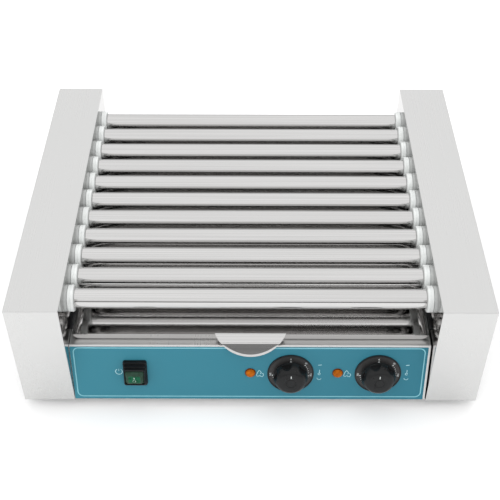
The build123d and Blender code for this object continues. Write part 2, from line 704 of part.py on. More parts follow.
def tray_block(half_width, y, bottom, bend):
    """A block of the tray's section: flat top, and bottom corners rounded along its length."""
    body = block((-half_width, half_width), y, (bottom, TRAY_TOP))
    sides = body.edges().filter_by(Axis.Y).group_by(Axis.Z)[0]
    body = fillet(sides, min(bend, TRAY_TOP - bottom - 0.1))
    ends = body.faces().group_by(Axis.Z)[0].edges().filter_by(Axis.X)
    return fillet(ends, 2.0 + bend - TRAY_BEND)


def handle_outline(start, end):
    """The part of the handle's half moon between two distances from its straight edge, along +Y."""
    moon = Pos(0, HANDLE_DEPTH - HANDLE_RADIUS) * Circle(HANDLE_RADIUS)
    return moon & Pos(0, (start + end) / 2) * Rectangle(4 * HANDLE_RADIUS, end - start)


def tray_handle():
    """A half-moon plate: over the tray's lip, folded down in front, with a tab on the lip."""
    rear_y = TRAY_FRONT_Y + TRAY_SHEET
    turned = Rot(0, 0, 180)
    lip = Pos(0, rear_y, TRAY_TOP + 0.3) * Rot(HANDLE_TILT, 0, 0)
    flat = lip * turned * extrude(handle_outline(0, HANDLE_FLAT), SHEET)
    drop = extrude(Pos(0, -HANDLE_FLAT) * handle_outline(HANDLE_FLAT, HANDLE_DEPTH), SHEET)
    fold = lip * Pos(0, -HANDLE_FLAT, SHEET) * Rot(HANDLE_SLOPE - HANDLE_TILT, 0, 0)
    drop = fold * Pos(0, 0, -SHEET) * turned * drop
    tab_y = (TRAY_FRONT_Y - SHEET, TRAY_FRONT_Y)
    tab = block((-HANDLE_TAB, HANDLE_TAB), tab_y, (TRAY_TOP - HANDLE_TAB_DROP, TRAY_TOP))
    holes = [rod_y(RIVET_R + RUNNING, tab_y[0] - 1, tab_y[1] + 1, x, RIVET_Z) for x in RIVET_XS]
    return drill(flat + drop + tab, *holes)


def handle_rivets():
    """Two dome rivets through the tray's lip and the handle's tab, with their heads in the tray."""
    inside = TRAY_FRONT_Y + TRAY_SHEET
    outside = TRAY_FRONT_Y - SHEET
    head = rod_y(RIVET_HEAD_R, inside, inside + RIVET_HEAD, 0, 0)
    head = fillet(head.edges().group_by(Axis.Y)[-1], RIVET_HEAD - 0.2)
    rivet = head + rod_y(RIVET_R, outside, inside, 0, 0)
    rivet += rod_y(RIVET_HEAD_R - 0.2, outside - 1, outside, 0, 0)
    return Compound(children=[Pos(x, 0, RIVET_Z) * rivet for x in RIVET_XS])


def cable_gland():
    """The mains cable's gland: a hexagon and a dome outside the rear panel, and a nut inside.
    It reaches as far behind the body as the knobs reach in front of it."""
    reach = FRONT - knob(0).bounding_box().min.Y
    hexagon = extrude(RegularPolygon(12.5, 6), 6)
    dome = rod_z(10.5, 5.5, reach)
    dome = fillet(dome.edges().group_by(Axis.Z)[-1], 3.0)
    thread = rod_z(GLAND_THREAD_R, -10, 1)
    nut = Pos(0, 0, -SHEET - 4) * extrude(RegularPolygon(12.5, 6), 4)
    gland = hexagon + dome + thread + nut - rod_z(GLAND_BORE_R, -20, 40)
    return Pos(GLAND_X, BACK, GLAND_Z) * Rot(-90, 0, 0) * gland


def all_nodes():
    """Every sub-part by the name of its node."""
    motor_z = find_motor_z()
    print("motor axis at z =", motor_z, "and chain links:", chain_length(motor_z))
    nodes = {
        "base_pan": base_pan(),
        "left_side_cover": side_cover(-1),
        "right_side_cover": side_cover(1),
        "left_bearing_plate": bearing_plate(-1),
        "right_bearing_plate": bearing_plate(1),
        "front_panel": front_panel(),
        "control_label": control_label(),
        "rear_panel": rear_panel(),
        "deck_plate": deck_plate(),
        "tray_runners": tray_runners(),
        "rubber_feet": rubber_feet(),
        "screws": screws(),
        "left_bushings": bushings(-1),
        "right_bushings": bushings(1),
        "front_zone_heaters": heaters(ROLLER_YS[:FRONT_ZONE_ROLLERS]),
        "rear_zone_heaters": heaters(ROLLER_YS[FRONT_ZONE_ROLLERS:]),
        "heater_brackets": Compound(children=[heater_bracket(-1), heater_bracket(1)]),
        "terminal_block": terminal_block(),
        "knob_bezels": knob_bezels(),
        "pilot_lamp_bodies": pilot_lamp_bodies(),
        "pilot_lamp_lenses": pilot_lamp_lenses(),
        "switch_housing": switch_housing(),
        "switch_boot": switch_boot(),
        "switch_rocker": switch_rocker(),
        "drip_tray": drip_tray(),
        "tray_handle": tray_handle(),
        "handle_rivets": handle_rivets(),
        "gear_motor": gear_motor(motor_z),
        "motor_bracket": motor_bracket(motor_z),
        "motor_sprocket": motor_sprocket(motor_z),
        "drive_chain": drive_chain(motor_z),
        "cable_gland": cable_gland(),
    }
    for name, x in KNOB_XS.items():
        nodes[f"{name}_thermostat"] = thermostat(x)
        nodes[f"{name}_spindle"] = spindle(x)
        nodes[f"{name}_knob"] = knob(x)
    for number, y in enumerate(ROLLER_YS, start=1):
        nodes[f"roller_{number:02}"] = roller(y)
        nodes[f"roller_sprocket_{number:02}"] = roller_sprocket(y)
    return nodes


os.makedirs("parts", exist_ok=True)
for node, shape in all_nodes().items():
    export_step(shape, f"parts/{node}.step")
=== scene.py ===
import json
import math

import bmesh
import bpy
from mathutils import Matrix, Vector


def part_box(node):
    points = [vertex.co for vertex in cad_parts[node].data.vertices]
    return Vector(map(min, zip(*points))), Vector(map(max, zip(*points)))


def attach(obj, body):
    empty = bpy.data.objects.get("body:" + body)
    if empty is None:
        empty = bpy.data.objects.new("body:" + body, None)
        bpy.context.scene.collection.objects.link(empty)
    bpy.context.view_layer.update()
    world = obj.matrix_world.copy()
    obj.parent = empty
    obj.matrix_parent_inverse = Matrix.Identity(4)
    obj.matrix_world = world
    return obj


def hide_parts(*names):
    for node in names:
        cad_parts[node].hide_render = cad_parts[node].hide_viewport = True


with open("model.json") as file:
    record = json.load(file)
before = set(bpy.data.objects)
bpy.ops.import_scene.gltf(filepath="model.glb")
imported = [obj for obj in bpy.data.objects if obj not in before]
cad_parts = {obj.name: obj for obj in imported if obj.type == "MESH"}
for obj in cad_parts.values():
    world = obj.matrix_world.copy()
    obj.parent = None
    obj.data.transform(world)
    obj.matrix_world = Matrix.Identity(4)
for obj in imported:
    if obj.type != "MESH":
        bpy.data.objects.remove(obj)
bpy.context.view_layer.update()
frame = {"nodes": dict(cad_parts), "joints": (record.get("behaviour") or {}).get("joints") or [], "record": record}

# Everything is in metres, in the frame's own axes: X right, Y back, Z up.
MM = 0.001
SLOTS = {part["node"]: part["material_slot"] for part in frame["record"]["subparts"]}
PLACES = {j["child"]: Vector(j["pos_m"]) for j in frame["joints"] if "pos_m" in j}
ROLLERS = sorted(name for name in PLACES if name.startswith("roller_"))
KNOBS = ["left_knob", "right_knob"]

# The front panel leans back; a place on it is across, up its slope, and out from its face.
# The knobs turn about lines square to it, and their joints stand on its face.
KNOB_UP = 44.4 * MM
KNOB_TURN = next(j for j in frame["joints"] if j["name"] == "left_knob_turn")
ACROSS = Vector((1, 0, 0))
OUT = -Vector(KNOB_TURN["axis"]).normalized()
UP_PANEL = OUT.cross(ACROSS)
PANEL_FOOT = Vector(KNOB_TURN["pos_m"]) * Vector((0, 1, 1)) - UP_PANEL * KNOB_UP
LABEL_FACE = 0.3 * MM


def on_panel(across, up, out=0.0):
    """A point by its place on the leaning panel."""
    return PANEL_FOOT + ACROSS * across + UP_PANEL * up + OUT * out


def panel_place(point):
    """The reverse of on_panel: a point's (across, up) on the panel."""
    return point.x, (point - PANEL_FOOT).dot(UP_PANEL)


def node_centre(node):
    """The middle of a CAD node's box."""
    low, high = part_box(node)
    return (low + high) / 2


# ---------------------------------------------------------------- materials

def new_material(name):
    """A node material; returns the material, its nodes, links and Principled shader."""
    material = bpy.data.materials.new(name)
    material.use_nodes = True
    nodes, links = material.node_tree.nodes, material.node_tree.links
    return material, nodes, links, nodes["Principled BSDF"]


def stretched(nodes, links, scale):
    """Object coordinates, scaled along each axis."""
    coordinates = nodes.new("ShaderNodeTexCoord")
    mapping = nodes.new("ShaderNodeMapping")
    mapping.inputs["Scale"].default_value = scale
    links.new(coordinates.outputs["Object"], mapping.inputs["Vector"])
    return mapping.outputs["Vector"]


def noise(nodes, links, vector, scale, detail=3.0):
    """A noise texture's factor."""
    texture = nodes.new("ShaderNodeTexNoise")
    texture.inputs["Scale"].default_value = scale
    texture.inputs["Detail"].default_value = detail
    links.new(vector, texture.inputs["Vector"])
    return texture.outputs["Fac"]


def ramp(nodes, links, factor, low, high, low_at=0.35, high_at=0.65):
    """A ramp between two colours or two grey values."""
    node = nodes.new("ShaderNodeValToRGB")
    for element, value, place in zip(node.color_ramp.elements, (low, high), (low_at, high_at)):
        rgb = (value,) * 3 if isinstance(value, float) else tuple(value)
        element.color = (*rgb, 1.0)
        element.position = place
    links.new(factor, node.inputs["Fac"])
    return node.outputs["Color"]


def along(nodes, links, axis, start, end, coordinates="Object"):
    """A value that runs from 0 to 1 between two places along an axis."""
    source = nodes.new("ShaderNodeTexCoord")
    split = nodes.new("ShaderNodeSeparateXYZ")
    links.new(source.outputs[coordinates], split.inputs["Vector"])
    span = nodes.new("ShaderNodeMapRange")
    span.inputs["From Min"].default_value = start
    span.inputs["From Max"].default_value = end
    links.new(split.outputs[axis], span.inputs["Value"])
    return span.outputs["Result"]


def maths(nodes, links, operation, first, second):
    """Two values added, or the larger one, and so on."""
    node = nodes.new("ShaderNodeMath")
    node.operation = operation
    links.new(first, node.inputs[0])
    links.new(second, node.inputs[1])
    return node.outputs[0]


def bump(nodes, links, shader, height, distance):
    """Bump from a height value; distance is in metres."""
    node = nodes.new("ShaderNodeBump")
    node.inputs["Strength"].default_value = 0.4
    node.inputs["Distance"].default_value = distance
    links.new(height, node.inputs["Height"])
    links.new(node.outputs["Normal"], shader.inputs["Normal"])


def steel(name, colour, roughness, grain, depth=0.0, spread=0.04, tone=0.05):
    """Sheet or tube steel with fine grain along one axis, and faint cloudy changes of tone."""
    material, nodes, links, shader = new_material(name)
    shader.inputs["Metallic"].default_value = 1.0
    lines = noise(nodes, links, stretched(nodes, links, grain), 1.0, 4.0)
    cloud = noise(nodes, links, stretched(nodes, links, (7, 7, 7)), 1.0, 3.0)
    darker = [c * (1 - tone) for c in colour]
    links.new(ramp(nodes, links, lines, darker, colour), shader.inputs["Base Color"])
    fine = ramp(nodes, links, lines, 0.0, spread)
    broad = ramp(nodes, links, cloud, roughness - spread / 2, roughness)
    links.new(maths(nodes, links, "ADD", fine, broad), shader.inputs["Roughness"])
    if depth:
        bump(nodes, links, shader, lines, depth)
    return material


def moulded(name, colour, roughness, grain=1500.0, depth=0.02 * MM, sheen=0.5, spread=0.05):
    """Moulded plastic or rubber with a fine grain and slightly uneven gloss."""
    material, nodes, links, shader = new_material(name)
    shader.inputs["Specular IOR Level"].default_value = sheen
    vector = stretched(nodes, links, (1, 1, 1))
    cloud = noise(nodes, links, vector, 60.0)
    lighter = [min(1.0, c * 1.15 + 0.002) for c in colour]
    links.new(ramp(nodes, links, cloud, colour, lighter), shader.inputs["Base Color"])
    links.new(ramp(nodes, links, cloud, roughness - spread, roughness + spread), shader.inputs["Roughness"])
    bump(nodes, links, shader, noise(nodes, links, vector, grain, 2.0), depth)
    return material


def label_film(name, left, right):
    """Printed film: a slightly paler tone towards one end, under a satin grain."""
    material, nodes, links, shader = new_material(name)
    shader.inputs["Specular IOR Level"].default_value = 0.22
    low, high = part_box("control_label")
    across = along(nodes, links, "X", low.x, high.x)
    links.new(ramp(nodes, links, across, left, right, 0.0, 1.0), shader.inputs["Base Color"])
    vector = stretched(nodes, links, (1, 1, 1))
    links.new(ramp(nodes, links, noise(nodes, links, vector, 40.0), 0.38, 0.48), shader.inputs["Roughness"])
    bump(nodes, links, shader, noise(nodes, links, vector, 2600.0, 2.0), 0.01 * MM)
    return material


def clear_plastic(name, colour, glow, seen_through=0.3, roughness=0.1):
    """Coloured see-through plastic with some depth and a little light of its own."""
    material, nodes, links, shader = new_material(name)
    cloud = noise(nodes, links, stretched(nodes, links, (1, 1, 1)), 220.0)
    deeper = [c * 0.6 for c in colour]
    links.new(ramp(nodes, links, cloud, deeper, colour), shader.inputs["Base Color"])
    links.new(ramp(nodes, links, cloud, roughness, roughness + 0.08), shader.inputs["Roughness"])
    shader.inputs["Transmission Weight"].default_value = seen_through
    shader.inputs["IOR"].default_value = 1.49
    shader.inputs["Specular IOR Level"].default_value = 0.10
    shader.inputs["Emission Color"].default_value = (*colour, 1.0)
    shader.inputs["Emission Strength"].default_value = glow
    return material


SHADE_DEPTH = (1.2 * MM, 3.0 * MM)  # above the tray's underside, where the painted shade fades out
SHADE_START = (40 * MM, 62 * MM)  # behind the tray's front, where the painted shade begins


def shaded_tray(name, steel_colour, shade_colour):
    """Tray steel, darkened by painted shade on its floor under the rollers, and plain in front."""
    material, nodes, links, shader = new_material(name)
    shader.inputs["Metallic"].default_value = 1.0
    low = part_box("drip_tray")[0]
    rise = along(nodes, links, "Z", low.z + SHADE_DEPTH[0], low.z + SHADE_DEPTH[1])
    strip = along(nodes, links, "Y", low.y + SHADE_START[1], low.y + SHADE_START[0])
    lines = noise(nodes, links, stretched(nodes, links, ALONG_X), 1.0, 4.0)
    # Painted shade: low in the tray and behind its front, the floor takes the darker colour.
    blend = nodes.new("ShaderNodeMix")
    blend.data_type = "RGBA"
    links.new(maths(nodes, links, "MAXIMUM", rise, strip), blend.inputs["Factor"])
    links.new(ramp(nodes, links, lines, [c * 0.7 for c in shade_colour], shade_colour), blend.inputs["A"])
    links.new(ramp(nodes, links, lines, [c * 0.93 for c in steel_colour], steel_colour), blend.inputs["B"])
    links.new(blend.outputs["Result"], shader.inputs["Base Color"])
    links.new(ramp(nodes, links, lines, 0.05, 0.09), shader.inputs["Roughness"])
    return material


ALONG_X = (3, 900, 900)
ALONG_Y = (900, 3, 900)
EVEN = (150, 150, 150)
MATERIALS = {
    "stainless_satin": steel("stainless_satin", (0.630, 0.630, 0.625), 0.28, ALONG_Y, tone=0.015),
    "stainless_polished": steel(
        "stainless_polished", (0.635, 0.630, 0.625), 0.08, ALONG_X, 0.010 * MM, 0.04, 0.14,
    ),
    "tray_steel": shaded_tray("tray_steel", (0.60, 0.59, 0.585), (0.38, 0.37, 0.36)),
    "zinc_steel": steel("zinc_steel", (0.30, 0.31, 0.32), 0.38, EVEN),
    "chain_steel": steel("chain_steel", (0.20, 0.20, 0.21), 0.36, EVEN),
    "heater_sheath": steel("heater_sheath", (0.30, 0.27, 0.24), 0.45, ALONG_X),
    "ptfe_white": moulded("ptfe_white", (0.655, 0.672, 0.664), 0.35),
    "label_teal": label_film("label_teal", (0.036, 0.205, 0.272), (0.026, 0.168, 0.232)),
    "black_plastic": moulded("black_plastic", (0.008, 0.009, 0.010), 0.40, sheen=0.25),
    "knob_black": moulded("knob_black", (0.008, 0.0085, 0.009), 0.30, sheen=0.22),
    "boot_rubber": moulded("boot_rubber", (0.006, 0.007, 0.008), 0.42, sheen=0.25),
    "foot_rubber": moulded("foot_rubber", (0.018, 0.018, 0.019), 0.70, sheen=0.3),
    "motor_paint": moulded("motor_paint", (0.03, 0.035, 0.045), 0.40),
    "white_plastic": moulded("white_plastic", (0.70, 0.69, 0.64), 0.45),
    "rocker_green": clear_plastic("rocker_green", (0.005, 0.110, 0.050), 0.0, 0.05, 0.25),
    "lamp_amber": clear_plastic("lamp_amber", (0.52, 0.130, 0.001), 0.02, 0.05, 0.25),
}
# Painted shade: the flanges' white plastic, greyed for the shade against the wall.
FLANGE_SHADE_GREY = moulded("flange_painted_shade", (0.42, 0.43, 0.425), 0.30)
DIAL_GREY = moulded("dial_grey", (0.034, 0.033, 0.033), 0.42, sheen=0.25)
PRINT_WHITE = moulded("print_white", (0.62, 0.66, 0.66), 0.5, depth=0.002 * MM)
PRINT_ICON = moulded("print_icon", (0.36, 0.60, 0.65), 0.5, depth=0.002 * MM)
PRINT_PALE = moulded("print_pale", (0.20, 0.48, 0.55), 0.45, depth=0.002 * MM)
SKIN_GREEN = clear_plastic("skin_green", (0.030, 0.072, 0.047), 0.0, 0.10, 0.3)
# Painted shade: a darker copy of the lens amber, for the shaded edge round each lens.
RIM_AMBER_SHADE = clear_plastic("rim_amber_shade", (0.15, 0.028, 0.002), 0.0, 0.10, 0.3)


def dress_cad_nodes():
    """Every CAD node that stays gets the material of its slot."""
    for name, node in frame["nodes"].items():
        node.data.materials.clear()
        node.data.materials.append(MATERIALS[SLOTS[name]])


# ---------------------------------------------------------------- building pieces

def add_piece(name, build, material, body, replaces=(), smooth=35):
    """Makes a mesh piece from a bmesh that build fills in, and ties it to a body."""
    mesh_builder = bmesh.new()
    build(mesh_builder)
    bmesh.ops.remove_doubles(mesh_builder, verts=mesh_builder.verts, dist=0.002 * MM)
    bmesh.ops.recalc_face_normals(mesh_builder, faces=mesh_builder.faces)
    mesh = bpy.data.meshes.new(name)
    mesh_builder.to_mesh(mesh)
    mesh_builder.free()
    piece = bpy.data.objects.new(name, mesh)
    bpy.context.scene.collection.objects.link(piece)
    mesh.materials.append(material)
    for polygon in mesh.polygons:
        polygon.use_smooth = smooth > 0
    if smooth > 0:
        mesh.set_sharp_from_angle(angle=math.radians(smooth))
    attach(piece, body)
    if replaces:
        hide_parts(*replaces)
    return piece


def skin(builder, rings, closed_around=True, closed_along=False):
    """Faces between rings of points."""
    rows = [[builder.verts.new(p) for p in ring] for ring in rings]
    steps = len(rows) if closed_along else len(rows) - 1
    for i in range(steps):
        a, b = rows[i], rows[(i + 1) % len(rows)]
        count = len(a) if closed_around else len(a) - 1
        for j in range(count):
            k = (j + 1) % len(a)
            builder.faces.new((a[j], a[k], b[k], b[j]))
    return rows


def capped(builder, rings):
    """A closed block through rings of points."""
    rows = skin(builder, rings)
    builder.faces.new(rows[0])
    builder.faces.new(rows[-1])


def turns(count, start=0.0):
    """Equal steps round a circle in radians, the first one start steps along."""
    return [2 * math.pi * (i + start) / count for i in range(count)]


def panel_ring(place, radius, out, sides, start=0.0):
    """The points of a circle about a place on the panel."""
    return [
        on_panel(place[0] + radius * math.cos(t), place[1] + radius * math.sin(t), out)
        for t in turns(sides, start)
    ]


def arc(centre, radius, start, end, steps):
    """(a, b) points of an arc, its angles in degrees."""
    angles = [math.radians(start + (end - start) * i / steps) for i in range(steps + 1)]
    return [(centre[0] + radius * math.cos(t), centre[1] + radius * math.sin(t)) for t in angles]


def turned_x(builder, profile, axis, segments=96):
    """A closed solid of revolution about a line along X, from (x, radius) points."""
    rings = [
        [Vector((x, axis.y + r * math.cos(t), axis.z + r * math.sin(t))) for t in turns(segments)]
        for x, r in profile
    ]
    skin(builder, rings, closed_along=True)


def turned_out(builder, profile, place, segments, radius_at):
    """A closed solid about a line out of the panel, from (radius, out) points.
    radius_at says what a radius becomes by (angle, radius, out)."""
    rings = []
    for radius, out in profile:
        ring = []
        for t in turns(segments):
            r = radius_at(t, radius, out)
            ring.append(on_panel(place[0] + r * math.cos(t), place[1] + r * math.sin(t), out))
        rings.append(ring)
    capped(builder, rings)


# ---------------------------------------------------------------- rollers and bushings

def make_roller(body):
    """A polished tube with softened ends."""
    low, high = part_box(body)
    radius = (high.z - low.z) / 2
    wall, soft = 1.2 * MM, 0.35 * MM
    left = [(low.x + soft * (1 - math.cos(t)), radius - soft * (1 - math.sin(t)))
            for t in (0.0, math.pi / 6, math.pi / 3, math.pi / 2)]
    right = [(high.x - (x - low.x), r) for x, r in reversed(left)]
    profile = left + right + [(high.x, radius - wall), (low.x, radius - wall)]
    add_piece(
        f"{body}_tube", lambda b: turned_x(b, profile, PLACES[body]),
        MATERIALS["stainless_polished"], body, [body],
    )


BUSHING_BORE = 12.55 * MM
BUSHING_SLEEVE = 7 * MM
BUSHING_FLANGE = 3.3 * MM
BUSHING_GROOVE = 0.4 * MM
BUSHING_LINE = 7.4 * MM
SLEEVE_R = 14.45 * MM


def bushing_sizes():
    """(end, wall, outer end, radius): places along X from the middle, and the collar's radius."""
    low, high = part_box("right_bushings")
    return low.x, high.x - BUSHING_SLEEVE, high.x, (high.z - low.z) / 2


def collar_profile():
    """(x, radius) points of the collar, with a rounded end and a fine groove round it."""
    end, wall, _, radius = bushing_sizes()
    soft, cut, edge = 1.6 * MM, 0.4 * MM, 0.5 * MM
    line, back = wall - BUSHING_LINE, wall - BUSHING_FLANGE - BUSHING_GROOVE
    points = [(end, BUSHING_BORE), (end, radius - soft)]
    points += [(end + soft - a, radius - soft + b) for a, b in arc((0, 0), soft, 15, 90, 5)]
    points += [(line - cut, radius), (line - cut / 2, radius - cut), (line + cut / 2, radius - cut)]
    points += [(line + cut, radius), (back - edge, radius), (back, radius - edge), (back, BUSHING_BORE)]
    return points


def flange_profile():
    """(x, radius) points of the flange on the wall and the sleeve through the wall."""
    _, wall, outer, radius = bushing_sizes()
    front, edge = wall - BUSHING_FLANGE, 0.4 * MM
    core = front - BUSHING_GROOVE + 0.02 * MM
    return [
        (core, BUSHING_BORE), (core, SLEEVE_R), (front, SLEEVE_R), (front, radius - edge),
        (front + edge, radius), (wall, radius), (wall, SLEEVE_R), (outer, SLEEVE_R), (outer, BUSHING_BORE),
    ]


def make_bushings(side, node):
    """Eleven bushings on one wall: white collars, and flanges against the wall painted greyer as shade."""
    for part, profile, material in (
        ("collars", collar_profile(), MATERIALS["ptfe_white"]), ("flanges", flange_profile(), FLANGE_SHADE_GREY),
    ):
        placed = [(side * x, r) for x, r in profile]

        def build(builder):
            for body in ROLLERS:
                turned_x(builder, placed, PLACES[body])

        replaced = [node] if part == "collars" else []
        add_piece(f"{node}_{part}", build, material, "body", replaced)


# ---------------------------------------------------------------- knobs and dials

HOLLOWS = 6
HOLLOW_R = 11.0 * MM
HOLLOW_AT = 29.0 * MM
HOLLOW_START = math.radians(45)
SKIRT_R = 21.7 * MM
SKIRT_END = 8.6 * MM
KNOB_REACH = 21.0 * MM
FACE_R = 12.0 * MM
POINTER = (7.6 * MM, 11.4 * MM)  # from the knob's middle


def hollow_limit(angle):
    """How far out the grip reaches at an angle, inside the finger hollows."""
    step = 2 * math.pi / HOLLOWS
    off = (angle - HOLLOW_START + step / 2) % step - step / 2
    reach = HOLLOW_AT * math.sin(off)
    if abs(reach) >= HOLLOW_R:
        return SKIRT_R
    return min(SKIRT_R, HOLLOW_AT * math.cos(off) - math.sqrt(HOLLOW_R**2 - reach**2))


def grip_radius(angle, radius, out):
    """The knob's radius at an angle: the full skirt below, and the hollowed dome above."""
    return radius if out <= SKIRT_END else min(radius, hollow_limit(angle))


def knob_profile():
    """(radius, out) points from the foot to the middle of the face."""
    foot = [(3.02, 2.3), (17.4, 2.3), (21.2, 5.3), (21.7, 5.9), (21.7, 8.2), (21.5, 8.6)]
    points = [(r * MM, out * MM) for r, out in foot]
    points.append((SKIRT_R - 0.25 * MM, SKIRT_END + 0.01 * MM))
    steps, spread, rise = 16, SKIRT_R - 0.3 * MM - FACE_R, KNOB_REACH - 0.35 * MM - SKIRT_END
    for i in range(1, steps + 1):
        t = math.pi / 2 * i / steps
        points.append((FACE_R + spread * math.cos(t) ** 0.9, SKIRT_END + rise * math.sin(t) ** 1.15))
    face = [(11.0, 0.12), (9.5, 0.02), (6.4, 0.0), (6.2, 0.35), (5.6, 0.35), (5.4, 0.0), (0.6, 0.0)]
    return points + [(r * MM, KNOB_REACH - sunk * MM) for r, sunk in face]


def make_knob(body):
    """The domed grip, with a plain ring pressed into its face and a pointer line."""
    place = panel_place(PLACES[body])
    add_piece(
        f"{body}_grip",
        lambda b: turned_out(b, knob_profile(), place, 240, grip_radius),
        MATERIALS["knob_black"], body, [body],
    )
    line = [(place[0], place[1] + reach) for reach in POINTER]
    add_piece(
        f"{body}_pointer",
        lambda b: ribbon(b, line, 0.9 * MM, KNOB_REACH - 0.2 * MM, 0.22 * MM),
        PRINT_WHITE, body, smooth=0,
    )


# A dial's angles are degrees clockwise from straight up.
DIAL_FACE = LABEL_FACE + 1.3 * MM
DIAL_INNER_R = 15.0 * MM
DIAL_OUTER_R = 27.5 * MM
PRINT = 0.06 * MM
DOT_OUT = DIAL_FACE + 0.05 * MM
DOT_R = 22.6 * MM
ZERO_DOT_R = 18.9 * MM
ZERO_DOT, BIG_DOT, SMALL_DOT = 1.1 * MM, 0.8 * MM, 0.5 * MM
DIAL_NUMBERS = (("0", 0, 22.9), ("50", 49, 25.4), ("150", 93, 25.4), ("300", 268, 25.2))
BIG_DOTS = (53, 97, 264)
DIAL_DOT_STEP = 8.0
NUMBER_SIZE = 3.3 * MM


def polar(place, radius, clockwise):
    """(across, up) at a radius and an angle clockwise from straight up, in degrees."""
    t = math.radians(clockwise)
    return place[0] + radius * math.sin(t), place[1] + radius * math.cos(t)


def make_dial(body):
    """The grey printed face of a dial, with its dots and numbers."""
    place = panel_place(PLACES[body])
    side = body.split("_")[0]

    def face(builder):
        section = [(DIAL_INNER_R, 0), (DIAL_OUTER_R, 0), (DIAL_OUTER_R, PRINT), (DIAL_INNER_R, PRINT)]
        rings = [panel_ring(place, radius, DIAL_FACE + out, 96) for radius, out in section]
        skin(builder, rings, closed_along=True)

    add_piece(f"{side}_dial_face", face, DIAL_GREY, "body")

    def dots(builder):
        dot(builder, polar(place, ZERO_DOT_R, 0), ZERO_DOT)
        for angle in BIG_DOTS:
            dot(builder, polar(place, DOT_R, angle), BIG_DOT)
        steps = round((BIG_DOTS[-1] - BIG_DOTS[0]) / DIAL_DOT_STEP)
        for i in range(1, steps):
            angle = BIG_DOTS[0] + (BIG_DOTS[-1] - BIG_DOTS[0]) * i / steps
            if min(abs(angle - big) for big in BIG_DOTS) > DIAL_DOT_STEP / 2:
                dot(builder, polar(place, DOT_R, angle), SMALL_DOT)

    add_piece(f"{side}_dial_dots", dots, PRINT_WHITE, "body", smooth=0)
    for text, angle, radius in DIAL_NUMBERS:
        make_number(f"{side}_dial_{text}", text, polar(place, radius * MM, angle), angle)


def dot(builder, centre, radius):
    """A thin printed disc on a dial."""
    capped(builder, [panel_ring(centre, radius, out, 20) for out in (DOT_OUT, DOT_OUT + PRINT)])


def make_number(name, text, centre, angle):
    """A number printed on the dial, turned to stand on its dot."""
    curve = bpy.data.curves.new(name, "FONT")
    curve.body = text
    curve.size = NUMBER_SIZE
    curve.extrude = PRINT / 2
    curve.align_x = "CENTER"
    curve.align_y = "CENTER"
    lettering = bpy.data.objects.new(name, curve)
    bpy.context.scene.collection.objects.link(lettering)
    t = math.radians(angle)
    right = ACROSS * math.cos(t) - UP_PANEL * math.sin(t)
    top = ACROSS * math.sin(t) + UP_PANEL * math.cos(t)
    for column, axis in enumerate((right, top, OUT)):
        for row in range(3):
            lettering.matrix_world[row][column] = axis[row]
    lettering.matrix_world.translation = on_panel(*centre, DIAL_FACE + 0.08 * MM)
    bpy.context.view_layer.update()
    mesh = bpy.data.meshes.new_from_object(lettering)
    mesh.transform(lettering.matrix_world)
    bpy.data.objects.remove(lettering)
    number = bpy.data.objects.new(name, mesh)
    bpy.context.scene.collection.objects.link(number)
    mesh.materials.clear()
    mesh.materials.append(PRINT_WHITE)
    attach(number, "body")


# ---------------------------------------------------------------- printed label

def line_sides(points, width, closed):
    """The points on the left and on the right of a line with a width, in pairs."""
    count = len(points)
    pairs = []
    for i, (x, y) in enumerate(points):
        before = points[i - 1] if closed or i else points[i]
        after = points[(i + 1) % count] if closed or i < count - 1 else points[i]
        dx, dy = after[0] - before[0], after[1] - before[1]
        length = math.hypot(dx, dy)
        nx, ny = -dy / length * width / 2, dx / length * width / 2
        pairs.append(((x + nx, y + ny), (x - nx, y - ny)))
    return pairs


def drawn_line(builder, points, width, low, high, closed, put):
    """A flat bar along a line, from one height to another; put turns (x, y, height) into a place."""
    rings = []
    for left, right in line_sides(points, width, closed):
        rings.append([put(*left, low), put(*right, low), put(*right, high), put(*left, high)])
    if closed:
        skin(builder, rings, closed_along=True)
    else:
        capped(builder, rings)


def ribbon(builder, points, width, out, thickness=PRINT, closed=False):
    """A printed line on the panel through (across, up) points."""
    drawn_line(builder, points, width, out, out + thickness, closed, on_panel)


def rounded_rectangle(left, right, bottom, top, radius, steps=10):
    """(across, up) points round a rectangle with round corners."""
    corners = [
        ((right - radius, bottom + radius), -90), ((right - radius, top - radius), 0),
        ((left + radius, top - radius), 90), ((left + radius, bottom + radius), 180),
    ]
    points = []
    for centre, start in corners:
        points += arc(centre, radius, start, start + 90, steps)
    return points


PRINT_OUT = LABEL_FACE + 0.01 * MM
OUTLINE = (-220.2 * MM, 217.2 * MM, 6.2 * MM, 83.6 * MM)
OUTLINE_CORNER = 7.0 * MM
OUTLINE_WIDTH = 1.3 * MM


def power_icon(builder, x, up):
    """An open ring with a bar in its gap."""
    ribbon(builder, arc((x, up), 4.3 * MM, 125, 415, 24), 0.8 * MM, PRINT_OUT)
    ribbon(builder, [(x, up + 1.0 * MM), (x, up + 4.4 * MM)], 0.5 * MM, PRINT_OUT)


def heat_icon(builder, x, up):
    """A warm plate with a curl of heat beside it."""
    plate = [(-4.3, -2.2), (-3.2, 1.6), (-1.0, 5.2), (0.4, 3.4), (1.6, 1.4), (0.6, -0.8)]
    curl = [(-4.3, -2.2), (-3.8, -4.4), (-1.6, -4.3), (-0.1, -2.6), (0.8, -4.6), (3.0, -4.9), (4.3, -3.0),
            (4.2, -0.6), (2.6, 0.2)]
    for line in (plate, curl):
        ribbon(builder, [(x + a * MM, up + b * MM) for a, b in line], 0.75 * MM, PRINT_OUT)


